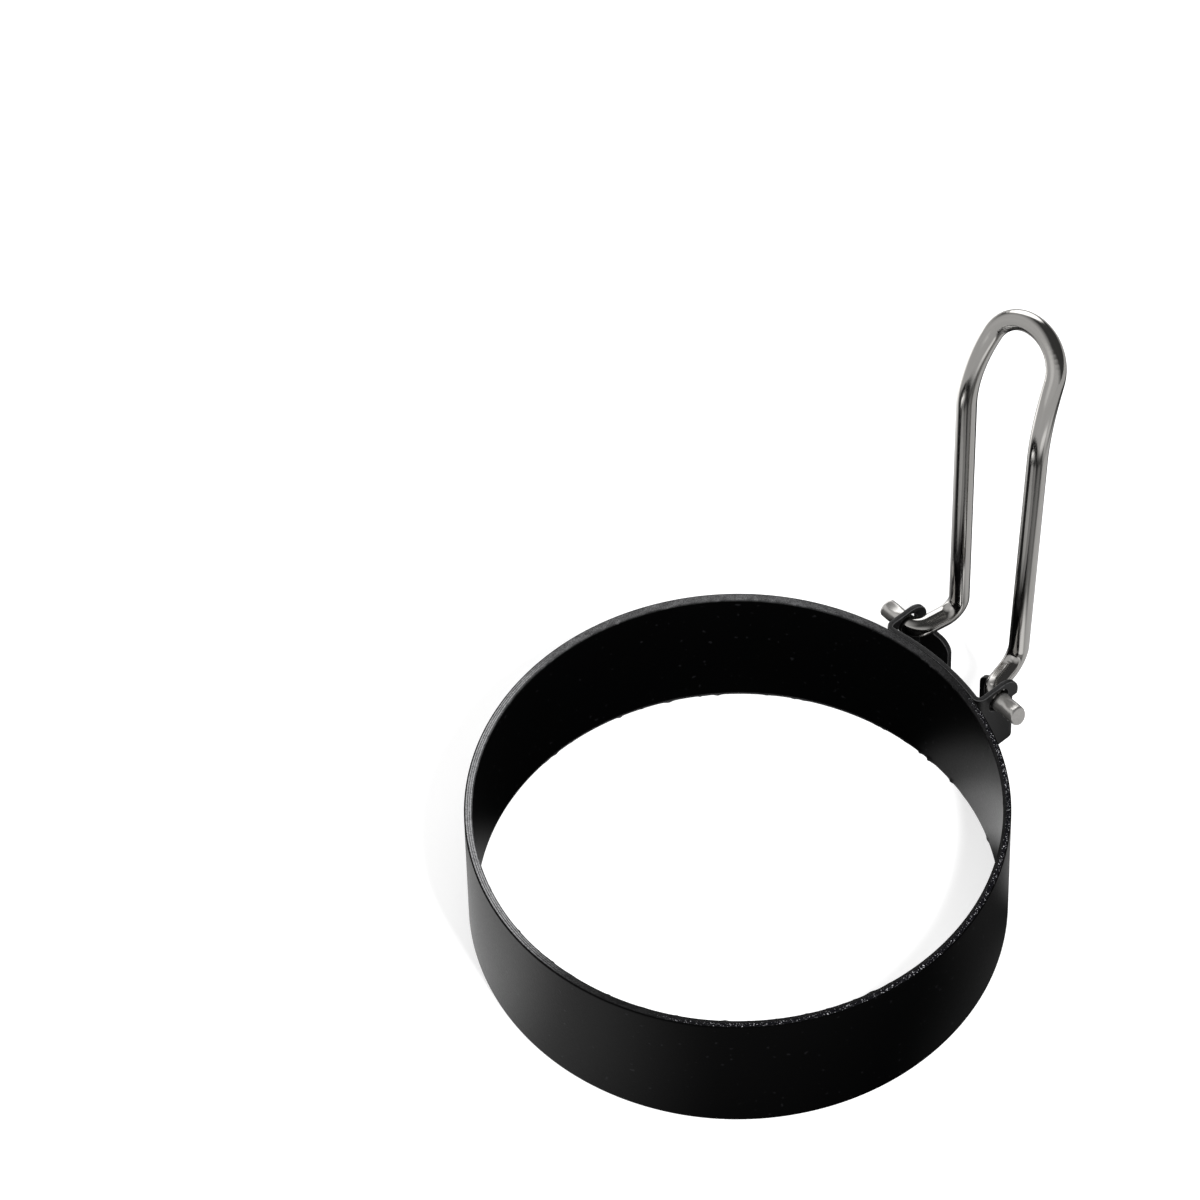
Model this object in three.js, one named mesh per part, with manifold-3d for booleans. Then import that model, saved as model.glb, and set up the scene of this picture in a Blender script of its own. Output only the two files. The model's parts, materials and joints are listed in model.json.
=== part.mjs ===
// Egg ring: a rolled steel band, a bent sheet hinge bracket welded to its outside, and a folding wire handle.
// Millimetres, +Z up. The band stands on z = 0, the hinge is on its +Y side and the handle stands upright.
// Pieces are drawn about the band's axis, and the whole is then moved so that the origin is at the bottom
// centre of its box.

import * as THREE from 'three';
import { mergeVertices } from 'three/addons/utils/BufferGeometryUtils.js';
import Module from 'manifold-3d';

const wasm = await Module();
wasm.setup();

// Band: a steel strip rolled into a ring, its cut edges eased outside and nearly sharp inside
const BAND_RADIUS = 39.2;
const BAND_WALL = 1.2;
const BAND_HEIGHT = 22.4;
const EDGE_ROUND_OUTER = 0.3;
const EDGE_ROUND_INNER = 0.12;
const BAND_STEPS = 120;

// Bracket: one bent sheet, a saddle plate that hugs the band, two ears and two lips turned inward.
// X is across the hinge, Y is out from the band's axis.
const SHEET = 0.8;
const WELD_GAP = 0.1;
const BRACKET_TOP = 21.9;
const BRACKET_BOTTOM = 8.6;
const EAR_INNER_X = 9.2;
const EAR_EDGE_Y = 45.8;
const EAR_BEND = 0.9;
const KNOB_RADIUS = 3.1;
const KNOB_EDGE_Y = 46.3;
const LIP_INNER_X = 3.3;
const LIP_TOP = 17.5;
const LIP_BEND = 0.7;
const LIP_CORNER_TOP = 2.2;
const LIP_CORNER_BOTTOM = 1.5;
const SPOT_WELD_X = 4.5;
const SPOT_WELD_Z = 15.5;
const SPOT_WELD_RADIUS = 1.7;
const SPOT_WELD_DEPTH = 0.2;

// Hinge: the wire's ends turn loosely in punched holes, and upright its cranks rest on the lips
const PIVOT_Y = 42.4;
const PIVOT_Z = 19.3;
const HOLE_RADIUS = 1.95;

// Handle: one round wire, seen upright and measured from the pivot: x across, up, and out from the band
const WIRE_RADIUS = 1.5;
const WIRE_SIDES = 16;
const TIP_X = 13.8;
const CRANK_X = 7.7;
const CRANK_OUT = 7.3;
const CRANK_RISE = 0.5;
const LEG_BASE_X = 6.15;
const LEG_TOP_X = 7.3;
const LEG_TOP_UP = 52.7;
const LEG_LEAN = THREE.MathUtils.degToRad(0.9);
const HEAD_TILT = THREE.MathUtils.degToRad(27.8);
const HEAD_LENGTH = 12.7;
const HEAD_END_X = 5.45;
const BEND_AT_PIVOT = 2.5;
const BEND_AT_LEG = 3.0;
const BEND_AT_HEAD = 27;
const BEND_AT_END = 6.2;

// Wire ends: pinched above and below when the wire was cut, and spread a little to the sides
const PINCH_LENGTH = 2.8;
const PINCH_DEPTH = 0.35;
const PINCH_SPREAD = 0.06;
const END_BEVEL = 0.15;

// Fineness of arcs: the widest turn of one step, and the most that a chord may cut off
const BEND_STEP = THREE.MathUtils.degToRad(11);
const CHORD_SAG = 0.02;

const X_AXIS = new THREE.Vector3(1, 0, 0);
const Y_AXIS = new THREE.Vector3(0, 1, 0);
const Z_AXIS = new THREE.Vector3(0, 0, 1);

function arcSteps(turn, radius) {
  const finest = 2 * Math.acos(1 - CHORD_SAG / radius);
  return Math.ceil(turn / Math.min(BEND_STEP, finest));
}

// Samples along a line through the corners, in a plane or in space, with an arc at each inner corner.
// Each sample has a point and the line's direction there.
function roundedLine(corners, radii) {
  const direction = (from, to) => to.clone().sub(from).normalize();
  const last = corners.length - 1;
  const samples = [{ point: corners[0], tangent: direction(corners[0], corners[1]) }];
  radii.forEach((radius, i) => {
    const corner = corners[i + 1];
    const into = direction(corners[i], corner);
    const out = direction(corner, corners[i + 2]);
    const turn = Math.acos(into.dot(out));
    const inward = out.clone().addScaledVector(into, -Math.cos(turn)).normalize();
    const start = corner.clone().addScaledVector(into, -radius * Math.tan(turn / 2));
    const steps = arcSteps(turn, radius);
    for (let k = 0; k <= steps; k += 1) {
      const angle = (turn * k) / steps;
      const forward = radius * Math.sin(angle);
      const sideways = radius * (1 - Math.cos(angle));
      samples.push({
        point: start.clone().addScaledVector(into, forward).addScaledVector(inward, sideways),
        tangent: into.clone().multiplyScalar(Math.cos(angle)).addScaledVector(inward, Math.sin(angle)),
      });
    }
  });
  samples.push({ point: corners[last], tangent: direction(corners[last - 1], corners[last]) });
  return samples;
}

// The outline of a bent sheet seen along its bends, from the middle line of its thickness
function sheetOutline(corners, radii) {
  const line = roundedLine(corners, radii);
  const face = (offset) => line.map(({ point, tangent }) => (
    new THREE.Vector2(point.x - tangent.y * offset, point.y + tangent.x * offset)
  ));
  return new THREE.Shape([...face(SHEET / 2), ...face(-SHEET / 2).reverse()]);
}

function extrudeAlongZ(shape, from, to) {
  const options = { depth: to - from, bevelEnabled: false, curveSegments: 10 };
  return new THREE.ExtrudeGeometry(shape, options).translate(0, 0, from);
}

// The shape's own x and y become Y and Z.
function extrudeAlongX(shape, from, to) {
  return extrudeAlongZ(shape, from, to).applyMatrix4(new THREE.Matrix4().makeBasis(Y_AXIS, Z_AXIS, X_AXIS));
}

// The shape's own x and y become X and Z.
function extrudeAlongY(shape, from, to) {
  const inward = Y_AXIS.clone().negate();
  return extrudeAlongZ(shape, -to, -from).applyMatrix4(new THREE.Matrix4().makeBasis(X_AXIS, Z_AXIS, inward));
}

function toSolid(geometry) {
  geometry.deleteAttribute('normal');
  geometry.deleteAttribute('uv');
  const merged = mergeVertices(geometry, 1e-5);
  return new wasm.Manifold(new wasm.Mesh({
    numProp: 3,
    vertProperties: new Float32Array(merged.getAttribute('position').array),
    triVerts: new Uint32Array(merged.index.array),
  }));
}

function toGeometry(solid) {
  const mesh = solid.getMesh();
  const geometry = new THREE.BufferGeometry();
  geometry.setAttribute('position', new THREE.BufferAttribute(new Float32Array(mesh.vertProperties), 3));
  geometry.setIndex(new THREE.BufferAttribute(new Uint32Array(mesh.triVerts), 1));
  geometry.computeVertexNormals();
  return geometry;
}

// Band: the strip's section, its corners quarter arcs, turned about the axis
function bandGeometry() {
  const section = new THREE.Path();
  const quarter = Math.PI / 2;
  const corner = (radius, height, round, from) => section.absarc(radius, height, round, from, from + quarter);
  const outerX = BAND_RADIUS - EDGE_ROUND_OUTER;
  const innerX = BAND_RADIUS - BAND_WALL + EDGE_ROUND_INNER;
  corner(outerX, EDGE_ROUND_OUTER, EDGE_ROUND_OUTER, -quarter);
  corner(outerX, BAND_HEIGHT - EDGE_ROUND_OUTER, EDGE_ROUND_OUTER, 0);
  corner(innerX, BAND_HEIGHT - EDGE_ROUND_INNER, EDGE_ROUND_INNER, quarter);
  corner(innerX, EDGE_ROUND_INNER, EDGE_ROUND_INNER, 2 * quarter);
  section.closePath();
  return new THREE.LatheGeometry(section.getPoints(2), BAND_STEPS).rotateX(Math.PI / 2);
}

// Bracket seen from above, its middle line reaching out to earY, and turned in to lipX where that is given.
// The saddle is one arc about the band's axis, drawn as the bend between two lines that touch it.
function bracketOutline(earY, lipX) {
  const earX = EAR_INNER_X + SHEET / 2;
  const saddleRadius = BAND_RADIUS + WELD_GAP + SHEET / 2;
  const saddleAngle = Math.asin((earX - EAR_BEND) / (saddleRadius + EAR_BEND));
  const saddleEdgeY = (saddleRadius - earX * Math.sin(saddleAngle)) / Math.cos(saddleAngle);
  const right = [new THREE.Vector2(earX, saddleEdgeY), new THREE.Vector2(earX, earY)];
  const bends = [EAR_BEND];
  if (lipX !== undefined) {
    right.push(new THREE.Vector2(lipX, earY));
    bends.push(LIP_BEND);
  }
  const left = right.map((p) => new THREE.Vector2(-p.x, p.y)).reverse();
  const middle = new THREE.Vector2(0, saddleRadius / Math.cos(saddleAngle));
  return sheetOutline([...left, middle, ...right], [...bends.toReversed(), saddleRadius, ...bends]);
}

// Bracket, lower part: saddle, ears and lips, with the lips' free corners rounded off
function lippedChannel() {
  const outline = bracketOutline(EAR_EDGE_Y - SHEET / 2, LIP_INNER_X);
  const channel = extrudeAlongZ(outline, BRACKET_BOTTOM, LIP_TOP);
  const topX = LIP_INNER_X + LIP_CORNER_TOP;
  const topZ = LIP_TOP - LIP_CORNER_TOP;
  const bottomX = LIP_INNER_X + LIP_CORNER_BOTTOM;
  const bottomZ = BRACKET_BOTTOM + LIP_CORNER_BOTTOM;
  const up = Math.PI / 2;
  const mouth = new THREE.Shape();
  mouth.moveTo(-topX, LIP_TOP + SHEET);
  mouth.absarc(-topX, topZ, LIP_CORNER_TOP, up, 0, true);
  mouth.absarc(-bottomX, bottomZ, LIP_CORNER_BOTTOM, 0, -up, true);
  mouth.lineTo(-bottomX, BRACKET_BOTTOM - SHEET);
  mouth.lineTo(bottomX, BRACKET_BOTTOM - SHEET);
  mouth.absarc(bottomX, bottomZ, LIP_CORNER_BOTTOM, -up, -2 * up, true);
  mouth.absarc(topX, topZ, LIP_CORNER_TOP, 2 * up, up, true);
  mouth.lineTo(topX, LIP_TOP + SHEET);
  const cut = extrudeAlongY(mouth, EAR_EDGE_Y - 2 * SHEET, EAR_EDGE_Y + SHEET);
  return toSolid(channel).subtract(toSolid(cut));
}

// Bracket, upper part: saddle and ears above the lips, each ear rounded off to a knob about its hole
function knobbedEars() {
  const knobY = KNOB_EDGE_Y - KNOB_RADIUS;
  const knobZ = BRACKET_TOP - KNOB_RADIUS;
  const knobEnd = -Math.acos((EAR_EDGE_Y - knobY) / KNOB_RADIUS);
  const floor = knobZ + KNOB_RADIUS * Math.sin(knobEnd);
  const behind = BAND_RADIUS - 2 * EAR_BEND;
  const side = new THREE.Shape();
  side.moveTo(behind, floor);
  side.lineTo(behind, BRACKET_TOP);
  side.absarc(knobY, knobZ, KNOB_RADIUS, Math.PI / 2, knobEnd, true);
  const sheet = extrudeAlongZ(bracketOutline(KNOB_EDGE_Y + SHEET), floor - SHEET, BRACKET_TOP + SHEET);
  const width = EAR_INNER_X + 2 * SHEET;
  return toSolid(sheet).intersect(toSolid(extrudeAlongX(side, -width, width)));
}

// A shallow round dent in the saddle, where it was spot-welded to the band
function spotWeld(side) {
  const surface = BAND_RADIUS + WELD_GAP + SHEET;
  const dent = new THREE.CylinderGeometry(SPOT_WELD_RADIUS, SPOT_WELD_RADIUS / 2, 2 * SPOT_WELD_DEPTH, 24);
  dent.translate(0, surface, SPOT_WELD_Z).rotateZ(side * Math.asin(SPOT_WELD_X / surface));
  return toSolid(dent);
}

function bracketGeometry() {
  const punch = new THREE.CylinderGeometry(HOLE_RADIUS, HOLE_RADIUS, 4 * EAR_INNER_X, 32);
  punch.rotateZ(Math.PI / 2).translate(0, PIVOT_Y, PIVOT_Z);
  return toGeometry(lippedChannel()
    .add(knobbedEars())
    .subtract(toSolid(punch))
    .subtract(spotWeld(-1))
    .subtract(spotWeld(1)));
}

// The handle wire's middle line about the pivot: out along the cranks, up the legs, round the tilted head
function handleLine() {
  const legTopOut = CRANK_OUT + (LEG_TOP_UP - CRANK_RISE) * Math.tan(LEG_LEAN);
  const headOut = legTopOut + HEAD_LENGTH * Math.sin(HEAD_TILT);
  const headUp = LEG_TOP_UP + HEAD_LENGTH * Math.cos(HEAD_TILT);
  const right = [
    new THREE.Vector3(TIP_X, 0, 0),
    new THREE.Vector3(CRANK_X, 0, 0),
    new THREE.Vector3(LEG_BASE_X, CRANK_OUT, CRANK_RISE),
    new THREE.Vector3(LEG_TOP_X, legTopOut, LEG_TOP_UP),
    new THREE.Vector3(HEAD_END_X, headOut, headUp),
  ];
  const left = right.map((p) => new THREE.Vector3(-p.x, p.y, p.z)).reverse();
  const bends = [BEND_AT_PIVOT, BEND_AT_LEG, BEND_AT_HEAD, BEND_AT_END];
  return roundedLine([...right, ...left], [...bends, ...bends.toReversed()]);
}

// Samples from a cut end to where its pinch fades out
function pinchedEnd(end) {
  const inward = X_AXIS.clone().multiplyScalar(-Math.sign(end.point.x));
  return [0, END_BEVEL, PINCH_LENGTH * 0.25, PINCH_LENGTH * 0.5, PINCH_LENGTH * 0.75, PINCH_LENGTH]
    .map((fromEnd) => ({
      point: end.point.clone().addScaledVector(inward, fromEnd),
      tangent: end.tangent,
      fromEnd,
    }));
}

// The wire's radius towards one side of its section, where up is how much that side faces up
function wireRadius(up, fromEnd) {
  if (fromEnd === undefined) return WIRE_RADIUS;
  if (fromEnd === 0) return WIRE_RADIUS - END_BEVEL;
  const pinch = Math.sin((Math.PI * fromEnd) / PINCH_LENGTH);
  const spread = WIRE_RADIUS + PINCH_SPREAD * pinch * (1 - up * up);
  const flat = (WIRE_RADIUS - PINCH_DEPTH * pinch) / Math.max(Math.abs(up), 0.1);
  return Math.min(spread, flat);
}

// A ring of points round each sample of the middle line, carried along it without twist, and two end caps
function handleGeometry() {
  const line = handleLine();
  const start = line.shift();
  const end = line.pop();
  const samples = [...pinchedEnd(start), ...line, ...pinchedEnd(end).reverse()];
  const positions = [];
  const indices = [];
  const normal = Z_AXIS.clone();
  let tangentBefore = start.tangent;
  samples.forEach(({ point, tangent, fromEnd }, row) => {
    normal.applyQuaternion(new THREE.Quaternion().setFromUnitVectors(tangentBefore, tangent));
    tangentBefore = tangent;
    const binormal = new THREE.Vector3().crossVectors(tangent, normal);
    for (let k = 0; k < WIRE_SIDES; k += 1) {
      const angle = (2 * Math.PI * k) / WIRE_SIDES;
      const outward = normal.clone().multiplyScalar(Math.cos(angle));
      outward.addScaledVector(binormal, Math.sin(angle));
      const radius = wireRadius(outward.z, fromEnd);
      positions.push(...point.clone().addScaledVector(outward, radius).toArray());
      if (row > 0) {
        const after = row * WIRE_SIDES + k;
        const afterNext = row * WIRE_SIDES + ((k + 1) % WIRE_SIDES);
        const before = after - WIRE_SIDES;
        const beforeNext = afterNext - WIRE_SIDES;
        indices.push(before, beforeNext, after, beforeNext, afterNext, after);
      }
    }
  });
  const lastRing = (samples.length - 1) * WIRE_SIDES;
  const startCentre = samples.length * WIRE_SIDES;
  const endCentre = startCentre + 1;
  positions.push(...start.point.toArray(), ...end.point.toArray());
  for (let k = 0; k < WIRE_SIDES; k += 1) {
    const next = (k + 1) % WIRE_SIDES;
    indices.push(startCentre, next, k, endCentre, lastRing + k, lastRing + next);
  }
  const geometry = new THREE.BufferGeometry();
  geometry.setAttribute('position', new THREE.Float32BufferAttribute(positions, 3));
  geometry.setIndex(indices);
  geometry.computeVertexNormals();
  return geometry;
}

function namedMesh(name, geometry, finish) {
  const mesh = new THREE.Mesh(geometry, new THREE.MeshStandardMaterial(finish));
  mesh.name = name;
  return mesh;
}

const blackCoat = { color: 0x17171a, roughness: 0.42, metalness: 0.1 };
const rubbedCoat = { color: 0x1e1e20, roughness: 0.48, metalness: 0.1 };
const polishedSteel = { color: 0xc6c4c0, roughness: 0.16, metalness: 1.0 };

const band = namedMesh('ring_band', bandGeometry(), blackCoat);
const bracket = namedMesh('hinge_bracket', bracketGeometry(), rubbedCoat);
const handle = namedMesh('wire_handle', handleGeometry(), polishedSteel);
handle.position.set(0, PIVOT_Y, PIVOT_Z);

const eggRing = new THREE.Group();
eggRing.add(band, bracket, handle);
const middle = new THREE.Box3().setFromObject(eggRing, true).getCenter(new THREE.Vector3());
eggRing.position.set(0, -middle.y, 0);

export default eggRing;
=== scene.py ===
import json
import math

import bmesh
import bpy
import numpy as np
from mathutils import Matrix, Vector


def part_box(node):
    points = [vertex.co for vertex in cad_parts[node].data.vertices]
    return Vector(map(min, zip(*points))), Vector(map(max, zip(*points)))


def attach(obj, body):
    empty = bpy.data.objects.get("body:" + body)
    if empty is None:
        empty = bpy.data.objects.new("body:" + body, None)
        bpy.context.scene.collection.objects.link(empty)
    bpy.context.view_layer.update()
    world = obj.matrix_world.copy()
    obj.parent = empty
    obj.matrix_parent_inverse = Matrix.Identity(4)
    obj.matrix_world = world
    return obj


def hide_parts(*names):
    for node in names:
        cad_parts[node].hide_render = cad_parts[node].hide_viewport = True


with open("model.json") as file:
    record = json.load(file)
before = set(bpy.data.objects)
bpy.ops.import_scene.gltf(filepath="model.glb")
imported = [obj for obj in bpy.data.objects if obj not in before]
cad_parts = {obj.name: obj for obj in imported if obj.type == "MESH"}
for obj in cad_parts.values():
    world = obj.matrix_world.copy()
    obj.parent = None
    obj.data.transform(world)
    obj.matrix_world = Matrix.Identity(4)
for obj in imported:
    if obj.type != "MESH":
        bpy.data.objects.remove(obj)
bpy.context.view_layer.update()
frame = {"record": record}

# Shapes are drawn in millimetres about the band's axis, then moved to the frame in metres
MM = 0.001
AXIS_Y = (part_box("ring_band")[0].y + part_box("ring_band")[1].y) / 2
PIVOT = frame["record"]["behaviour"]["joints"][0]["pos_m"]
PIVOT_Y = (PIVOT[1] - AXIS_Y) / MM
PIVOT_Z = PIVOT[2] / MM
SEED = 7

# Band
BAND_RADIUS = 39.2
BAND_WALL = 1.2
BAND_HEIGHT = 22.4
BAND_STEPS = 1560
WALL_ROWS = (0.55, 1.2, 4.5, 9, 13.5, 18, 21.2, 21.85)
WALL_WAVE = 0.05
ROUND_OUTER = 0.3
ROUND_OUTER_STEPS = 4
ROUND_INNER = 0.1
ROUND_INNER_STEPS = 3
ROLL_WIDTH = 0.42
ROLL_DEPTH = 0.22
ROLL_STEPS = 10
RIM_ROWS = 18
FOOT_ROWS = 9

# Zones round the rim: middle in degrees, the cosine from there at which it starts and how soon it is full
TORN_ZONE = (10, 0.25, 0.35)
# Painted light: this zone makes the back and left of the rim lighter in colour, as if lit there
PAINTED_LIGHT_ZONE = (185, -0.35, 1.1)
SCORED_ZONE = (229, 0.62, 0.3)

# Marks across the rim, from 0 at its outer edge to 1 at its inner edge
SCORES = (0.3, 0.58, 0.84)
SCORE_WIDTH = 0.075
SCORE_DEPTH = 0.02
RIM_RELIEF = 0.03
TORN_START = (0.12, 0.1)
TORN_END = (0.74, 0.14)
TORN_DEPTH = 0.05
CHIP_DEPTH = 0.08
BARE_START = (0.1, 0.14)
BURR_START = (0.93, 0.07)

# How bare the rim's steel is: everywhere, more round its back and left as painted light, in the scores and
# less between them
BARE_REST = 0.025
PAINTED_LIGHT_BARE = 0.21
BARE_SCORE = 0.9
BARE_BETWEEN = 0.06

# Cells round the band and layers across of each relief
LINE_CELLS = (22, 9)
TORN_CELLS = (300, 3)
CHIP_CELLS = (640, 5)
WAVE_CELLS = (14, 2)

# Burrs on the inner edge: some at set angles in degrees, the others small and random
BURR_ANGLES = (89.6, 81.7, 92.3, 141.7, 152.9, 164.6)
BURR_SIZE = 0.2
SMALL_BURRS = 44
SMALL_BURR_SIZE = (0.03, 0.1)
BURR_WIDTH = (0.3, 0.7)

# Bracket
SHEET = 0.8
SHEET_ROUND = 0.14
SADDLE_RADIUS = BAND_RADIUS + 0.1 + SHEET / 2
BRACKET_TOP = 21.9
BRACKET_BOTTOM = 8.6
EAR_X = 9.2 + SHEET / 2
EAR_EDGE_Y = 45.8
EAR_BEND = 0.9
KNOB_RADIUS = 3.1
KNOB_EDGE_Y = 46.3
KNOB_SPARE = 3
LIP_INNER_X = 3.3
LIP_TOP = 17.5
LIP_BEND = 0.7
LIP_CORNER_TOP = 2.2
LIP_CORNER_BOTTOM = 1.5
NOTCH = 0.3
HOLE_RADIUS = 1.95
HOLE_STEPS = 48
FOLD_STEP = 0.02
COLUMN_STEP = 0.3
ROW_STEP = 0.45
WELD_S = 4.5
WELD_Z = 15.5
WELD_RADIUS = 1.9
WELD_DEPTH = 0.2
WELD_RIM = 0.04

# Handle wire, measured from the pivot
WIRE_RADIUS = 1.5
WIRE_SIDES = 56
WIRE_STEP = 0.22
WIRE_BENDS = (2.5, 3.0, 27, 6.2)
TIP_X = 13.8
CRANK_X = 7.7
CRANK_OUT = 7.3
CRANK_RISE = 0.5
LEG_BASE_X = 6.15
LEG_TOP_X = 7.3
LEG_TOP_UP = 52.7
LEG_LEAN = math.radians(0.9)
HEAD_TILT = math.radians(27.8)
HEAD_LENGTH = 12.7
HEAD_END_X = 5.45

# Wire ends, pinched above and below, and the first one cut at a slope
PINCH_LENGTH = 2.8
PINCH_DEPTH = 0.2
PINCH_SPREAD = 0.04
END_BEVEL = 0.12
END_INSET = 0.92
END_SLOPE = math.tan(math.radians(20))
END_SLOPE_LENGTH = 1.6
TIP_DROP = 0.12
TIP_RUBBED = 4.2
BEND_RUBBED = 3.5

# Marks of the bending pin inside a leg's foot and of the jaws beside the head, and the flat on one crank
PIN_REACH = 1.5
PIN_DEPTH = 0.17
PIN_RIDGE = 0.05
PIN_RIDGE_PLACE = (1.08, 0.09)
PIN_RIDGE_FACING = (0.75, 0.2)
JAW_REACH = (0.5, 7.5)
JAW_PITCH = 0.62
JAW_DEPTH = 0.028
JAW_FACING = (-0.62, 0.16)
CRANK_FLAT = 0.1
CRANK_FLAT_FACING = (-0.335, -0.07, 0.94)

# How the handle hangs in the play of its holes: shift in millimetres, lean and turn in degrees
PLAY_SHIFT = (0.13, 0.08, -0.1)
PLAY_LEAN = 0.92
PLAY_TURN = 0.3

# Coating: noise scales, tones and roughness
GRAIN_SCALE = 3200
CLOUD_SCALE = 90
DUST_SCALE = 1300
FLECK_SCALE = 4600
MOTTLE_SCALE = 6500
DUST_TONE = (0.01, 0.01, 0.011, 1)
TORN_DARK = (0.003, 0.003, 0.004, 1)
TORN_BRIGHT = (0.5, 0.5, 0.52, 1)
COAT_ROUGHNESS = (0.36, 0.48)
CUT_ROUGHER = 0.08
COAT_BUMP = (0.35, 0.00004)

# Steel: drawn lines along the wire, tones and roughness
LINE_STRETCH = (0.05, 3.2, 3.2)
LINE_SCALE = 1.6
BLOTCH_SCALE = 0.35
SCUFF_SCALE = 2.2
STEEL_DARK = (0.54, 0.525, 0.505, 1)
STEEL_LIGHT = (0.62, 0.605, 0.58, 1)
STEEL_RUBBED = (0.78, 0.765, 0.74, 1)
STEEL_ROUGHNESS = (0.07, 0.17)
BLOTCH_ROUGHER = 0.05
RUBBED_ROUGHER = 0.2
RUBBED_METAL = 0.9
SCUFF_RELIEF = 1.5
STEEL_BUMP = (0.1, 0.00002)

# Camera of the photograph: turned about the band's axis, then tilted down, with a slight roll
CAMERA_AZIMUTH = 49.0
CAMERA_TILT = 51.04
CAMERA_ROLL = -1.59
CAMERA_LENS = 242.9
CAMERA_SENSOR = 36
CAMERA_CLIP = (0.05, 20)
CAMERA_OFFSET = Vector((0.5120, 1.1097, 30)) * BAND_RADIUS * MM

# Lights, never reflected: place as (right, away, up) in metres as the camera's viewer has it, width and power
KEY_BOX = ((0.22, -0.47, 0.74), 0.09, 9)
TOP_BOX = ((0, 0.1, 1.2), 1.1, 7)
LIGHT_AIM = Vector((0, 0, 0.02))

# Soft panels of the studio: direction as (right, away, up), where they fade in and are full, and strength
PANELS = (
    ((-0.04, 0.92, 0.32), (0.87, 0.93), 2.2),
    ((-0.85, 0.0, 0.4), (0.45, 0.88), 0.5),
    ((-0.2, -1.0, -0.05), (0.5, 0.85), 0.5),
)
SKY_REST = 0.05

# Soft bright places on the hidden sheet: (right, away) from the band's axis, full within and gone beyond,
# and strength. The last is the other way round, with nothing within and full beyond
GLOWS = (
    ((-50, -6), (10, 30), 1.95),
    ((-42, -36), (8, 40), 1.45),
    ((82, 32), (25, 39), 0.54),
    ((47, 9), (5, 13), 0.9),
    ((58, -14), (5, 26), 0.22),
    ((112, -18), (14, 38), 0.45),
    ((-10, 92), (30, 60), 0.6),
    ((-60, 150), (60, 110), 1.2),
    ((0, 0), (12, 18), 0.42),
    ((24, -14), (10, 22), 0.27),
    ((33, 15), (2, 8), 2.8),
    ((28, 21), (2, 7), 1.2),
    ((75, -85), (25, 50), 0.5),
    ((45, 45), (125, 78), 0.5),
)
GLOW_REST = 0.015
GLOW_SIZE = 1.6
GLOW_DEPTH = -0.002
FLOOR_SIZE = 6
FLOOR_LIGHT = 0.62


def smooth(x):
    x = np.clip(x, 0, 1)
    return x * x * (3 - 2 * x)


def rise(value, start, span):
    """0 up to the start, then smoothly up to 1 over the span."""
    return smooth((value - start) / span)


def fall(value, end, span):
    """Smoothly down from 1 over the span, to 0 at the end."""
    return smooth((end - value) / span)


def zone(angle, middle, start, span):
    """How far each direction round the band is inside a zone, from 0 to 1, one row each."""
    return rise(np.cos(angle - math.radians(middle)), start, span)[:, None]


def ring_noise(rng, steps, across, cells, layers):
    """Smooth random relief from 0 to 1 that repeats round the ring, one row per step round."""
    lattice = rng.random((cells, layers + 1))
    u = np.arange(steps) / steps * cells
    v = np.clip(across, 0, 1) * layers
    i = np.floor(u).astype(int)
    j = np.minimum(np.floor(v).astype(int), layers - 1)
    fu = smooth(u - i)[:, None]
    fv = smooth(v - j)[None, :]
    here, after = lattice[i % cells], lattice[(i + 1) % cells]
    near = here[:, j] * (1 - fu) + after[:, j] * fu
    far = here[:, j + 1] * (1 - fu) + after[:, j + 1] * fu
    return near * (1 - fv) + far * fv


def make_object(name, vertices, faces, attributes):
    """A smooth mesh from points in millimetres about the band's axis."""
    mesh = bpy.data.meshes.new(name)
    places = np.array(vertices, float) * MM
    places[:, 1] += AXIS_Y
    mesh.from_pydata(places.tolist(), [], [list(map(int, f)) for f in faces])
    for key, values in attributes.items():
        kind, field = ("FLOAT", "value") if np.ndim(values) == 1 else ("FLOAT_VECTOR", "vector")
        layer = mesh.attributes.new(key, kind, "POINT")
        layer.data.foreach_set(field, np.ravel(values).astype(np.float32))
    mesh.polygons.foreach_set("use_smooth", [True] * len(mesh.polygons))
    mesh.update()
    obj = bpy.data.objects.new(name, mesh)
    bpy.context.scene.collection.objects.link(obj)
    return obj


# Band: the strip's section turned about the axis, with the marks of shearing on both cut edges

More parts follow.
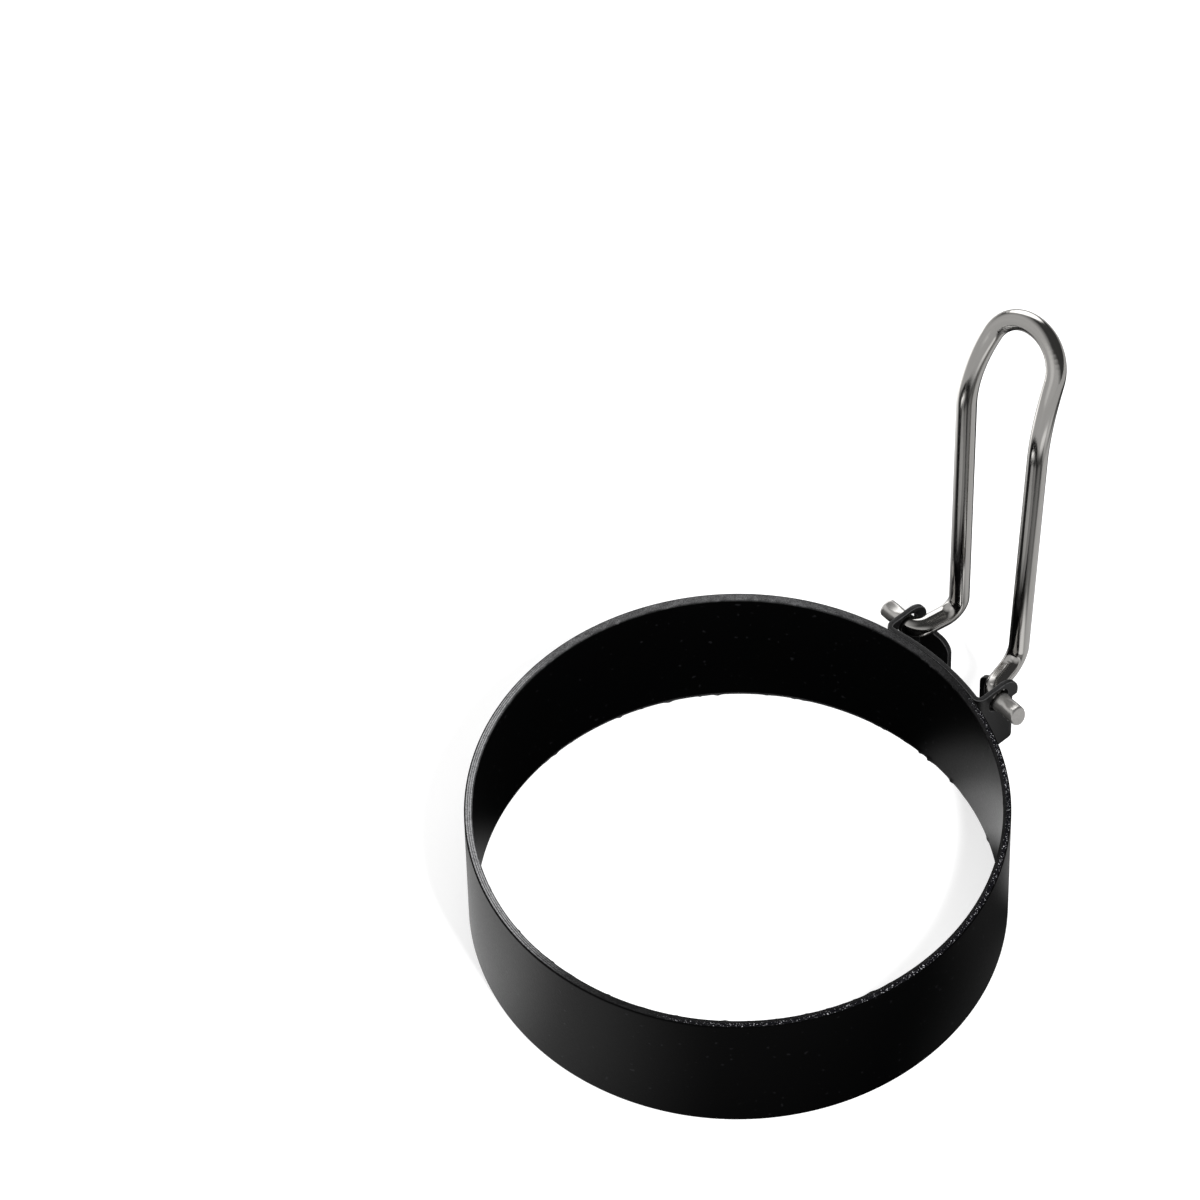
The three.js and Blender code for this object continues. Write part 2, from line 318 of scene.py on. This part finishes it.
def band_section():
    """Points round the strip's section: radius, height, place across the cut edge from outside in, edge."""
    points = []

    def corner(radius, height, size, start, steps, across, edge):
        for k in range(steps + 1):
            a = math.radians(start + 90 * k / steps)
            points.append((radius + size * math.cos(a), height + size * math.sin(a), across, edge))

    outer = BAND_RADIUS - ROUND_OUTER
    inner = BAND_RADIUS - BAND_WALL + ROUND_INNER
    top = BAND_HEIGHT
    for z in WALL_ROWS:
        points.append((BAND_RADIUS, z, 0, 0))
    share = ROLL_WIDTH / (BAND_RADIUS - inner)
    for k in range(ROLL_STEPS + 1):
        a = math.pi / 2 * k / ROLL_STEPS
        back = 1 - math.cos(a)
        drop = ROLL_DEPTH * (1 - math.sin(a))
        points.append((BAND_RADIUS - ROLL_WIDTH * back, top - drop, share * back, 1))
    flat = BAND_RADIUS - ROLL_WIDTH
    for w in np.linspace(0, 1, RIM_ROWS)[1:-1]:
        points.append((flat + (inner - flat) * w, top, share + (1 - share) * w, 1))
    corner(inner, top - ROUND_INNER, ROUND_INNER, 90, ROUND_INNER_STEPS, 1, 1)
    for z in reversed(WALL_ROWS):
        points.append((BAND_RADIUS - BAND_WALL, z, 1, 0))
    corner(inner, ROUND_INNER, ROUND_INNER, 180, ROUND_INNER_STEPS, 1, -1)
    for w in np.linspace(1, 0, FOOT_ROWS)[1:-1]:
        points.append((outer + (inner - outer) * w, 0, w, -1))
    corner(outer, ROUND_OUTER, ROUND_OUTER, 270, ROUND_OUTER_STEPS, 0, -1)
    return np.array(points).T


def burrs(rng, angle):
    """What the shears left standing on the inner edge: how far each direction round the band stands in."""
    places = np.concatenate([np.radians(BURR_ANGLES), rng.random(SMALL_BURRS) * 2 * math.pi])
    small = SMALL_BURR_SIZE[0] + SMALL_BURR_SIZE[1] * rng.random(SMALL_BURRS) ** 2
    sizes = np.concatenate([np.full(len(BURR_ANGLES), BURR_SIZE), small])
    widths = BURR_WIDTH[0] + BURR_WIDTH[1] * rng.random(len(places))
    for place, size, width in zip(places, sizes, widths):
        away = (angle - place + math.pi) % (2 * math.pi) - math.pi
        yield size * np.exp(-((away * BAND_RADIUS / width) ** 2) * 2)[:, None]


def make_band():
    rng = np.random.default_rng(SEED)
    radius, height, across, edge = band_section()
    steps, count = BAND_STEPS, len(radius)
    angle = np.arange(steps) / steps * 2 * math.pi
    cut = np.abs(edge)
    tear = zone(angle, *TORN_ZONE)
    score = zone(angle, *SCORED_ZONE)
    painted_light = zone(angle, *PAINTED_LIGHT_ZONE)
    rough = tear * rise(across, *TORN_START) * fall(across, *TORN_END) * cut
    lines = ring_noise(rng, steps, across, *LINE_CELLS)
    torn = ring_noise(rng, steps, across, *TORN_CELLS)
    chips = ring_noise(rng, steps, across, *CHIP_CELLS)
    groove = sum(np.exp(-(((across - place) / SCORE_WIDTH) ** 2)) for place in SCORES) * cut
    relief = cut * RIM_RELIEF * lines * smooth(across * 8)
    relief = relief + rough * (TORN_DEPTH * torn + CHIP_DEPTH * smooth((chips - 0.5) * 3))
    z = height[None, :] - edge[None, :] * (relief + SCORE_DEPTH * score * groove)
    r = radius[None, :] - WALL_WAVE * ring_noise(rng, steps, height / BAND_HEIGHT, *WAVE_CELLS)
    inner_edge = cut * rise(across, *BURR_START)
    for burr in burrs(rng, angle):
        r -= burr * inner_edge
    x = r * np.cos(angle)[:, None]
    y = r * np.sin(angle)[:, None]
    vertices = np.stack([x, y, z], 2).reshape(-1, 3)
    i, j = np.meshgrid(np.arange(steps), np.arange(count), indexing="ij")
    after_i, after_j = (i + 1) % steps, (j + 1) % count
    corners = [i * count + j, after_i * count + j, after_i * count + after_j, i * count + after_j]
    faces = np.stack(corners, 2).reshape(-1, 4)
    # The extra bare tone round the back and left of the rim is painted light; the rest is the bare steel of
    # the cut and its scores
    worn = (BARE_REST + PAINTED_LIGHT_BARE * painted_light) * (0.7 + 0.6 * torn) + score * (BARE_SCORE * groove - BARE_BETWEEN)
    marks = {
        "cut": (cut * rise(across, *BARE_START) * np.clip(worn, 0, 1)).ravel(),
        "torn": rough.ravel(),
    }
    return make_object("band", vertices, faces, marks)


# Bracket: a flat blank with rounded edges, cut along its bends and folded

def integrate(legs):
    """Distance, x, y and heading along a line from the saddle's middle. Each leg is (length, turn)."""
    rows = [(0.0, 0.0, SADDLE_RADIUS, 0.0)]
    for length, turn in legs:
        steps = max(2, int(length / FOLD_STEP))
        s0, x, y, heading = rows[-1]
        for k in range(1, steps + 1):
            middle = heading + turn * (k - 0.5) / steps
            x += math.cos(middle) * length / steps
            y += math.sin(middle) * length / steps
            rows.append((s0 + length * k / steps, x, y, heading + turn * k / steps))
    return np.array(rows).T


def bracket_legs():
    """The folded line with its lip and without, and where the ear starts along it and out from the axis."""
    saddle = math.asin((EAR_X - EAR_BEND) / (SADDLE_RADIUS + EAR_BEND))
    ear_start = (SADDLE_RADIUS + EAR_BEND) * math.cos(saddle)
    lip_y = EAR_EDGE_Y - SHEET / 2
    quarter = math.pi / 2
    bends = [(SADDLE_RADIUS * saddle, -saddle), (EAR_BEND * (quarter + saddle), quarter + saddle)]
    bent = bends + [(lip_y - LIP_BEND - ear_start, 0), (LIP_BEND * quarter, quarter),
                    (EAR_X - LIP_BEND - LIP_INNER_X, 0)]
    straight = bends + [(lip_y - ear_start + KNOB_SPARE, 0)]
    ear_s = bends[0][0] + bends[1][0]
    return integrate(bent), integrate(straight), ear_s, ear_start


def blank_outline(ear_s, ear_start, end_s):
    """The right half of the flat blank from the middle of its foot, round to the middle of its top."""
    points = []

    def arc(cs, cz, radius, start, end, steps):
        for k in range(steps + 1):
            a = math.radians(start + (end - start) * k / steps)
            points.append((cs + radius * math.cos(a), cz + radius * math.sin(a)))

    def ear(y):
        return ear_s + y - ear_start

    arc(end_s - LIP_CORNER_BOTTOM, BRACKET_BOTTOM + LIP_CORNER_BOTTOM, LIP_CORNER_BOTTOM, -90, 0, 12)
    arc(end_s - LIP_CORNER_TOP, LIP_TOP - LIP_CORNER_TOP, LIP_CORNER_TOP, 0, 90, 14)
    notch_s = ear(EAR_EDGE_Y - SHEET / 2 - LIP_BEND)
    arc(notch_s, LIP_TOP + NOTCH / 2, NOTCH / 2, -90, -270, 8)
    knob_y, knob_z = KNOB_EDGE_Y - KNOB_RADIUS, BRACKET_TOP - KNOB_RADIUS
    low = math.degrees(math.asin((LIP_TOP + NOTCH - knob_z) / KNOB_RADIUS))
    arc(ear(knob_y), knob_z, KNOB_RADIUS, low, 90, 22)
    return points


def flat_blank(rings):
    """The blank as a filled curve with holes and rounded edges, turned into a mesh."""
    curve = bpy.data.curves.new("blank", "CURVE")
    curve.dimensions = "2D"
    curve.fill_mode = "BOTH"
    curve.extrude = SHEET / 2 - SHEET_ROUND
    curve.bevel_depth = SHEET_ROUND
    curve.bevel_resolution = 2
    curve.offset = -SHEET_ROUND
    for ring in rings:
        spline = curve.splines.new("POLY")
        spline.points.add(len(ring) - 1)
        for point, (s, z) in zip(spline.points, ring):
            point.co = (s, z, 0, 1)
        spline.use_cyclic_u = True
    holder = bpy.data.objects.new("blank", curve)
    bpy.context.scene.collection.objects.link(holder)
    flat = bpy.data.meshes.new_from_object(holder.evaluated_get(bpy.context.evaluated_depsgraph_get()))
    bpy.data.objects.remove(holder)
    return flat


def make_bracket():
    rng = np.random.default_rng(SEED + 1)
    bent, straight, ear_s, ear_start = bracket_legs()
    end_s = bent[0, -1]
    half = blank_outline(ear_s, ear_start, end_s)
    rings = [half + [(-s, z) for s, z in reversed(half)]]
    hole_s = ear_s + PIVOT_Y - ear_start
    turn = np.linspace(0, 2 * math.pi, HOLE_STEPS, endpoint=False)
    for side in (-1, 1):
        rings.append([(side * hole_s + HOLE_RADIUS * math.cos(a), PIVOT_Z + HOLE_RADIUS * math.sin(a))
                      for a in turn])
    bm = bmesh.new()
    bm.from_mesh(flat_blank(rings))
    bmesh.ops.remove_doubles(bm, verts=bm.verts, dist=1e-4)

    def slice_at(values, axis):
        for value in values:
            where, normal = [0, 0, 0], [0, 0, 0]
            where[axis], normal[axis] = value, 1
            bmesh.ops.bisect_plane(bm, geom=bm.verts[:] + bm.edges[:] + bm.faces[:], dist=1e-5,
                                   plane_co=where, plane_no=normal)

    slice_at(np.arange(-end_s + 0.2, end_s, COLUMN_STEP), 0)
    slice_at(np.arange(BRACKET_BOTTOM + 0.5, BRACKET_TOP, ROW_STEP), 1)
    bmesh.ops.triangulate(bm, faces=[f for f in bm.faces if len(f.verts) > 4])
    bm.verts.ensure_lookup_table()
    place = np.array([v.co for v in bm.verts])
    faces = [[v.index for v in f.verts] for f in bm.faces]
    bm.free()

    s, z, w = place.T
    side = np.where(s < 0, -1, 1)
    far = np.abs(s)
    knob = z > LIP_TOP + NOTCH / 2

    def follow(line):
        return [np.interp(far, line[0], row) for row in line[1:]]

    x, y, heading = [np.where(knob, a, b) for a, b in zip(follow(straight), follow(bent))]
    out_x, out_y = -np.sin(heading), np.cos(heading)
    for weld in (-1, 1):
        reach = np.hypot(s - weld * WELD_S, z - WELD_Z) / WELD_RADIUS
        dent = WELD_DEPTH * (1 - smooth(reach)) - WELD_RIM * np.exp(-((reach - 1) / 0.2) ** 2)
        w = np.where(w > 0, w - dent, w)
    vertices = np.stack([side * (x + out_x * w), y + out_y * w, z], 1)
    # The lighter tone on the rounded edges is a painted highlight; the tone on the flat cut faces is thin
    # coat
    arris_highlight = np.abs(np.abs(w) - SHEET / 2 + SHEET_ROUND * 0.4) < SHEET_ROUND * 0.35
    edge = np.abs(w) < SHEET / 2 - SHEET_ROUND * 0.9
    cut = np.where(edge, 0.08, arris_highlight * (0.5 + 0.4 * rng.random(len(w))))
    obj = make_object("bracket", vertices, faces, {"cut": cut, "torn": np.zeros(len(w))})
    bm = bmesh.new()
    bm.from_mesh(obj.data)
    bmesh.ops.recalc_face_normals(bm, faces=bm.faces)
    bm.to_mesh(obj.data)
    bm.free()
    return obj


# Handle: one wire swept along rounded corners, drawn finely enough for its tool marks

def straight_run(start, end, way, line, heading):
    """Adds points from the start to just before the end."""
    count = max(1, math.ceil(np.linalg.norm(end - start) / WIRE_STEP))
    for k in range(count):
        line.append(start + (end - start) * k / count)
        heading.append(way)


def rounded_line(corners, radii):
    """Points and directions along a line through the corners, with an arc at each inner one, and the arcs."""
    line, heading, bends = [], [], []
    previous = corners[0]
    for corner, before, after, radius in zip(corners[1:-1], corners[:-2], corners[2:], radii):
        into = (corner - before) / np.linalg.norm(corner - before)
        out = (after - corner) / np.linalg.norm(after - corner)
        turn = math.acos(into @ out)
        inward = (out - into * math.cos(turn)) / math.sin(turn)
        start = corner - into * radius * math.tan(turn / 2)
        count = max(4, math.ceil(turn * radius / WIRE_STEP))
        straight_run(previous, start, into, line, heading)
        bends.append((len(line), len(line) + count, inward))
        for k in range(count + 1):
            a = turn * k / count
            previous = start + into * radius * math.sin(a) + inward * radius * (1 - math.cos(a))
            way = into * math.cos(a) + inward * math.sin(a)
            if k < count:
                line.append(previous)
                heading.append(way)
    straight_run(previous, corners[-1], way, line, heading)
    line.append(corners[-1])
    heading.append(way)
    return np.array(line), np.array(heading), bends


def handle_corners():
    leg_out = CRANK_OUT + (LEG_TOP_UP - CRANK_RISE) * math.tan(LEG_LEAN)
    head_out = leg_out + HEAD_LENGTH * math.sin(HEAD_TILT)
    head_up = LEG_TOP_UP + HEAD_LENGTH * math.cos(HEAD_TILT)
    right = [(TIP_X, 0, 0), (CRANK_X, 0, 0), (LEG_BASE_X, CRANK_OUT, CRANK_RISE),
             (LEG_TOP_X, leg_out, LEG_TOP_UP), (HEAD_END_X, head_out, head_up)]
    left = [(-x, y, z) for x, y, z in reversed(right)]
    return np.array(right + left, float)


def tool_marks(number, past, bend_length, facing, radius):
    """The wire's radius, flattened by the pin inside a leg's foot and nicked by the jaws beside the head."""
    if number in (1, 6):
        off = abs(past - bend_length / 2) / PIN_REACH
        if off < 1:
            depth = PIN_DEPTH * smooth((1 - off) * 5)
            flat = (WIRE_RADIUS - depth) / np.maximum(facing, 0.2)
            radius = np.where(facing > 0.2, np.minimum(radius, flat), radius)
        else:
            ridge = PIN_RIDGE * math.exp(-(((off - PIN_RIDGE_PLACE[0]) / PIN_RIDGE_PLACE[1]) ** 2))
            radius = radius + ridge * rise(facing, *PIN_RIDGE_FACING)
    if number in (2, 5):
        reach = past - bend_length if number == 2 else -past
        if JAW_REACH[0] < reach < JAW_REACH[1]:
            nick = max(0.0, math.sin(2 * math.pi * reach / JAW_PITCH)) ** 2
            radius = radius - JAW_DEPTH * nick * np.exp(-(((facing - JAW_FACING[0]) / JAW_FACING[1]) ** 2))
    return radius


def wire_section(end, up):
    """The wire's radius on all sides of one section, pinched flat above and below where it is near an end."""
    full = WIRE_RADIUS - TIP_DROP * fall(end, PINCH_LENGTH + 1, 1.2)
    if end >= PINCH_LENGTH:
        return np.full(WIRE_SIDES, full)
    pinch = math.sin(math.pi * end / PINCH_LENGTH)
    spread = full + PINCH_SPREAD * pinch * (1 - up * up)
    flat = (full - PINCH_DEPTH * pinch) / np.maximum(np.abs(up), 0.1)
    return np.minimum(spread, flat) - END_BEVEL * (1 - smooth(end / END_BEVEL))


def make_wire():
    line, heading, bends = rounded_line(handle_corners(), WIRE_BENDS + WIRE_BENDS[::-1])
    along = np.concatenate([[0], np.cumsum(np.linalg.norm(np.diff(line, axis=0), axis=1))])
    length = along[-1]
    rubbed = np.zeros(len(line))
    for first, last, _ in bends:
        middle = (along[first] + along[last]) / 2
        rubbed += np.exp(-((along - middle) / BEND_RUBBED) ** 2)
    rubbed = np.clip(rubbed, 0, 1) * 0.1 + 0.9 * fall(np.minimum(along, length - along), TIP_RUBBED, 0.8)
    flat_start, flat_end = along[bends[0][1]] - 2, along[bends[1][0]] + 1.6
    normal = np.array([0.0, 0.0, 1.0])
    turn = np.arange(WIRE_SIDES) / WIRE_SIDES * 2 * math.pi
    round_x, round_y = np.cos(turn), np.sin(turn)
    rows, straight = [], []
    before = heading[0]
    for point, way, s in zip(line, heading, along):
        rotate = Vector(before).rotation_difference(Vector(way))
        normal = np.array(rotate @ Vector(normal))
        before = way
        side = np.cross(way, normal)
        outward = round_x[:, None] * normal + round_y[:, None] * side
        radius = wire_section(min(s, length - s), outward[:, 2])
        for number, (first, last, inward) in enumerate(bends):
            past, bend_length = s - along[first], along[last] - along[first]
            radius = tool_marks(number, past, bend_length, outward @ inward, radius)
        pressed = rise(s, flat_start, 0.8) * fall(s, flat_end, 0.6)
        facet = (WIRE_RADIUS - CRANK_FLAT * pressed) / np.maximum(outward @ CRANK_FLAT_FACING, 0.2)
        row = point + outward * np.minimum(radius, facet)[:, None]
        if s < END_SLOPE_LENGTH:
            row[:, 0] -= (row[:, 2] - point[2]) * END_SLOPE * (1 - s / END_SLOPE_LENGTH)
        rows.append(row)
        straight.append(np.stack([np.full(WIRE_SIDES, s), round_x * WIRE_RADIUS, round_y * WIRE_RADIUS], 1))

    # A ring just inside each end's edge keeps the cut face flat and its edge crisp
    rows = [line[0] + (rows[0] - line[0]) * END_INSET] + rows + [line[-1] + (rows[-1] - line[-1]) * END_INSET]
    straight = straight[:1] + straight + straight[-1:]
    rubbed = np.concatenate([[1], rubbed, [1]])
    count = len(rows)
    vertices = np.concatenate(rows + [line[:1], line[-1:]])
    play = Matrix.Rotation(math.radians(PLAY_TURN), 3, "Z") @ Matrix.Rotation(math.radians(PLAY_LEAN), 3, "Y")
    vertices = vertices @ np.array(play).T + PLAY_SHIFT + (0, PIVOT_Y, PIVOT_Z)
    straight = np.concatenate(straight + [[(0, 0, 0)], [(length, 0, 0)]])
    i, k = np.meshgrid(np.arange(count - 1) * WIRE_SIDES, np.arange(WIRE_SIDES), indexing="ij")
    after_k = (k + 1) % WIRE_SIDES
    quads = np.stack([i + k, i + after_k, i + WIRE_SIDES + after_k, i + WIRE_SIDES + k], 2)
    faces = quads.reshape(-1, 4).tolist()
    first, last, last_ring = count * WIRE_SIDES, count * WIRE_SIDES + 1, (count - 1) * WIRE_SIDES
    for k in range(WIRE_SIDES):
        after_k = (k + 1) % WIRE_SIDES
        faces.append([first, after_k, k])
        faces.append([last, last_ring + k, last_ring + after_k])
    rubbed = np.concatenate([np.repeat(np.clip(rubbed, 0, 1), WIRE_SIDES), [1, 1]])
    return make_object("wire", vertices, faces, {"wire_place": straight, "rubbed": rubbed})


# Materials

def new_material(name):
    material = bpy.data.materials.new(name)
    material.use_nodes = True
    tree = material.node_tree
    return material, tree.nodes, tree.links, tree.nodes["Principled BSDF"]


def noise(nodes, links, vector, scale, detail=2, rough=0.5):
    node = nodes.new("ShaderNodeTexNoise")
    node.inputs["Scale"].default_value = scale
    node.inputs["Detail"].default_value = detail
    node.inputs["Roughness"].default_value = rough
    links.new(vector, node.inputs["Vector"])
    return node.outputs["Fac"]


def remap(nodes, links, value, low, high, from_low=0.0, from_high=1.0, ease="LINEAR"):
    node = nodes.new("ShaderNodeMapRange")
    node.interpolation_type = ease
    for key, number in (("From Min", from_low), ("From Max", from_high), ("To Min", low), ("To Max", high)):
        node.inputs[key].default_value = number
    links.new(value, node.inputs["Value"])
    return node.outputs["Result"]


def math_node(nodes, links, operation, a, b):
    node = nodes.new("ShaderNodeMath")
    node.operation = operation
    for socket, value in zip(node.inputs, (a, b)):
        if isinstance(value, (int, float)):
            socket.default_value = value
        else:
            links.new(value, socket)
    return node.outputs[0]


def attribute(nodes, name, output="Fac"):
    node = nodes.new("ShaderNodeAttribute")
    node.attribute_name = name
    return node.outputs[output]


def mix_colours(nodes, links, factor, a, b):
    node = nodes.new("ShaderNodeMix")
    node.data_type = "RGBA"
    links.new(factor, node.inputs["Factor"])
    for key, value in (("A", a), ("B", b)):
        socket = [s for s in node.inputs if s.name == key and s.type == "RGBA"][0]
        if isinstance(value, tuple):
            socket.default_value = value
        else:
            links.new(value, socket)
    return [s for s in node.outputs if s.type == "RGBA"][0]


def add_bump(nodes, links, shader, height, strength, distance):
    bump = nodes.new("ShaderNodeBump")
    bump.inputs["Strength"].default_value = strength
    bump.inputs["Distance"].default_value = distance
    links.new(height, bump.inputs["Height"])
    links.new(bump.outputs["Normal"], shader.inputs["Normal"])


def grey(tone, blue):
    return (tone, tone, tone * blue, 1)


def coat_material(name, dark, light, cut_tone, gloss):
    """Satin black coating with a fine grain and a little dust, thinner and lighter on the cut edges, where
    the lighter tone also paints light on the band's rim and highlights on the bracket's rounded edges.
    """
    material, nodes, links, shader = new_material(name)
    coords = nodes.new("ShaderNodeTexCoord").outputs["Object"]
    grain = noise(nodes, links, coords, GRAIN_SCALE, 3, 0.6)
    cloud = noise(nodes, links, coords, CLOUD_SCALE, 3)
    cut = attribute(nodes, "cut")
    torn = attribute(nodes, "torn")
    plain = mix_colours(nodes, links, cloud, grey(dark, 1.05), grey(light, 1.05))
    dust = remap(nodes, links, noise(nodes, links, coords, DUST_SCALE, 0), 0, 1, 0.78, 0.84)
    base = mix_colours(nodes, links, dust, plain, DUST_TONE)
    fleck = remap(nodes, links, noise(nodes, links, coords, FLECK_SCALE, 2, 0.6), 0, 1, 0.6, 0.72)
    speckled = mix_colours(nodes, links, fleck, TORN_DARK, TORN_BRIGHT)
    mottle = remap(nodes, links, noise(nodes, links, coords, MOTTLE_SCALE, 1), 0.5, 1.6, 0.3, 0.7)
    # The lighter tone mixed in here is partly thin coat on the cut edges and partly painted light and painted
    # highlights
    bare = math_node(nodes, links, "MULTIPLY", cut, mottle)
    worn = mix_colours(nodes, links, bare, base, grey(cut_tone, 1.02))
    links.new(mix_colours(nodes, links, torn, worn, speckled), shader.inputs["Base Color"])
    smoothness = remap(nodes, links, grain, *COAT_ROUGHNESS)
    rougher = math_node(nodes, links, "MULTIPLY", cut, CUT_ROUGHER)
    links.new(math_node(nodes, links, "ADD", smoothness, rougher), shader.inputs["Roughness"])
    height = math_node(nodes, links, "ADD", grain, math_node(nodes, links, "MULTIPLY", torn, fleck))
    add_bump(nodes, links, shader, height, *COAT_BUMP)
    shader.inputs["Specular IOR Level"].default_value = gloss
    return material


def steel_material():
    """Bright drawn wire: polished, with faint lines along it, rubbed at its bends and matt at its ends."""
    material, nodes, links, shader = new_material("bright_steel")
    place = attribute(nodes, "wire_place", "Vector")
    rubbed = attribute(nodes, "rubbed")
    stretch = nodes.new("ShaderNodeMapping")
    stretch.inputs["Scale"].default_value = LINE_STRETCH
    links.new(place, stretch.inputs["Vector"])
    lines = noise(nodes, links, stretch.outputs["Vector"], LINE_SCALE, 4, 0.6)
    blotch = noise(nodes, links, place, BLOTCH_SCALE, 3)
    scuff = math_node(nodes, links, "MULTIPLY", noise(nodes, links, place, SCUFF_SCALE, 3, 0.6), rubbed)
    base = mix_colours(nodes, links, lines, STEEL_DARK, STEEL_LIGHT)
    links.new(mix_colours(nodes, links, scuff, base, STEEL_RUBBED), shader.inputs["Base Color"])
    drawn = remap(nodes, links, lines, *STEEL_ROUGHNESS)
    worn = remap(nodes, links, blotch, 0, BLOTCH_ROUGHER, 0.4, 0.7)
    rougher = math_node(nodes, links, "MULTIPLY", rubbed, RUBBED_ROUGHER)
    total = math_node(nodes, links, "ADD", drawn, math_node(nodes, links, "ADD", worn, rougher))
    links.new(total, shader.inputs["Roughness"])
    relief = math_node(nodes, links, "ADD", lines, math_node(nodes, links, "MULTIPLY", scuff, SCUFF_RELIEF))
    add_bump(nodes, links, shader, relief, *STEEL_BUMP)
    links.new(remap(nodes, links, rubbed, 1, RUBBED_METAL, 0.2, 0.9), shader.inputs["Metallic"])
    return material


def finish_piece(obj, material, body, node):
    obj.data.materials.append(material)
    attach(obj, body)
    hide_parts(node)


band_coat = coat_material("band_black", dark=0.0008, light=0.0012, cut_tone=0.26, gloss=0.028)
bracket_coat = coat_material("bracket_black", dark=0.003, light=0.006, cut_tone=0.07, gloss=0.25)
finish_piece(make_band(), band_coat, "ring", "ring_band")
finish_piece(make_bracket(), bracket_coat, "ring", "hinge_bracket")
finish_piece(make_wire(), steel_material(), "handle", "wire_handle")


# Camera, lights and floor

def add_camera():
    pitch = math.radians(CAMERA_TILT)
    right = Vector((1, 0, 0))
    forward = Vector((0, math.cos(pitch), -math.sin(pitch)))
    down = forward.cross(right)
    seen = Matrix.Rotation(math.radians(CAMERA_ROLL), 3, "Z") @ Matrix((right, down, forward))
    turn = Matrix.Rotation(math.radians(CAMERA_AZIMUTH), 3, "Z")
    eye = turn @ -(seen.transposed() @ CAMERA_OFFSET) + Vector((0, AXIS_Y, 0))
    seen = seen @ turn.transposed()
    data = bpy.data.cameras.new("photo_camera")
    data.sensor_width = CAMERA_SENSOR
    data.lens = CAMERA_LENS
    data.clip_start, data.clip_end = CAMERA_CLIP
    camera = bpy.data.objects.new("photo_camera", data)
    columns = Matrix((seen[0], -seen[1], -seen[2])).transposed()
    camera.matrix_world = Matrix.Translation(eye) @ columns.to_4x4()
    bpy.context.scene.collection.objects.link(camera)
    bpy.context.scene.camera = camera


def seen_from_camera(right, away, up):
    """A point given as the camera's viewer has it: to the right, away and up, in metres."""
    a = math.radians(CAMERA_AZIMUTH)
    x = right * math.cos(a) - away * math.sin(a)
    y = right * math.sin(a) + away * math.cos(a)
    return Vector((x, y + AXIS_Y, up))


def add_box_light(name, place, width, power):
    data = bpy.data.lights.new(name, "AREA")
    data.shape = "SQUARE"
    data.size = width
    data.energy = power
    light = bpy.data.objects.new(name, data)
    light.location = seen_from_camera(*place)
    light.rotation_euler = (LIGHT_AIM - light.location).to_track_quat("-Z", "Y").to_euler()
    light.visible_glossy = False
    bpy.context.scene.collection.objects.link(light)


def add_floor():
    """The pale floor, which the camera sees with its shadows, but which isn't reflected or a light."""
    bpy.ops.mesh.primitive_plane_add(size=FLOOR_SIZE, location=(0, 0, 0))
    floor = bpy.context.object
    floor.name = "floor"
    material, shader = new_material("pale_floor")[::3]
    shader.inputs["Base Color"].default_value = (0.5, 0.5, 0.5, 1)
    shader.inputs["Roughness"].default_value = 0.8
    shader.inputs["Emission Color"].default_value = (1, 1, 1, 1)
    shader.inputs["Emission Strength"].default_value = FLOOR_LIGHT
    floor.data.materials.append(material)
    floor.visible_glossy = False
    floor.visible_diffuse = False


def add_glow():
    """What the gloss reflects below: a sheet under the floor, dark near the band and brighter farther out."""
    bpy.ops.mesh.primitive_plane_add(size=GLOW_SIZE, location=(0, 0, GLOW_DEPTH))
    sheet = bpy.context.object
    sheet.name = "floor_glow"
    material = bpy.data.materials.new("floor_glow")
    material.use_nodes = True
    nodes, links = material.node_tree.nodes, material.node_tree.links
    place = nodes.new("ShaderNodeTexCoord").outputs["Object"]
    total = None
    for (right, away), (full, gone), strength in GLOWS:
        reach = nodes.new("ShaderNodeVectorMath")
        reach.operation = "DISTANCE"
        links.new(place, reach.inputs[0])
        reach.inputs[1].default_value = seen_from_camera(right * MM, away * MM, 0)
        glow = remap(nodes, links, reach.outputs["Value"], strength, 0, full * MM, gone * MM, "SMOOTHSTEP")
        total = glow if total is None else math_node(nodes, links, "ADD", total, glow)
    light = nodes.new("ShaderNodeEmission")
    links.new(math_node(nodes, links, "ADD", total, GLOW_REST), light.inputs["Strength"])
    links.new(light.outputs[0], nodes["Material Output"].inputs["Surface"])
    sheet.data.materials.append(material)
    sheet.visible_camera = False
    sheet.visible_diffuse = False
    sheet.visible_shadow = False
    sheet.visible_transmission = False


def add_studio():
    """What the gloss reflects above: dark, with soft bright panels."""
    world = bpy.data.worlds.new("studio")
    world.use_nodes = True
    nodes, links = world.node_tree.nodes, world.node_tree.links
    direction = nodes.new("ShaderNodeTexCoord").outputs["Generated"]
    total = None
    for toward, (faint, full), strength in PANELS:
        spot = nodes.new("ShaderNodeVectorMath")
        spot.operation = "DOT_PRODUCT"
        links.new(direction, spot.inputs[0])
        spot.inputs[1].default_value = (seen_from_camera(*toward) - Vector((0, AXIS_Y, 0))).normalized()
        glow = remap(nodes, links, spot.outputs["Value"], 0, strength, faint, full)
        total = glow if total is None else math_node(nodes, links, "ADD", total, glow)
    total = math_node(nodes, links, "ADD", total, SKY_REST)
    links.new(total, nodes["Background"].inputs["Strength"])
    nodes["Background"].inputs["Color"].default_value = (1, 1, 1, 1)
    bpy.context.scene.world = world


add_camera()
add_floor()
add_glow()
add_studio()
add_box_light("key_box", *KEY_BOX)
add_box_light("top_box", *TOP_BOX)

bpy.context.scene.view_settings.view_transform = "Standard"
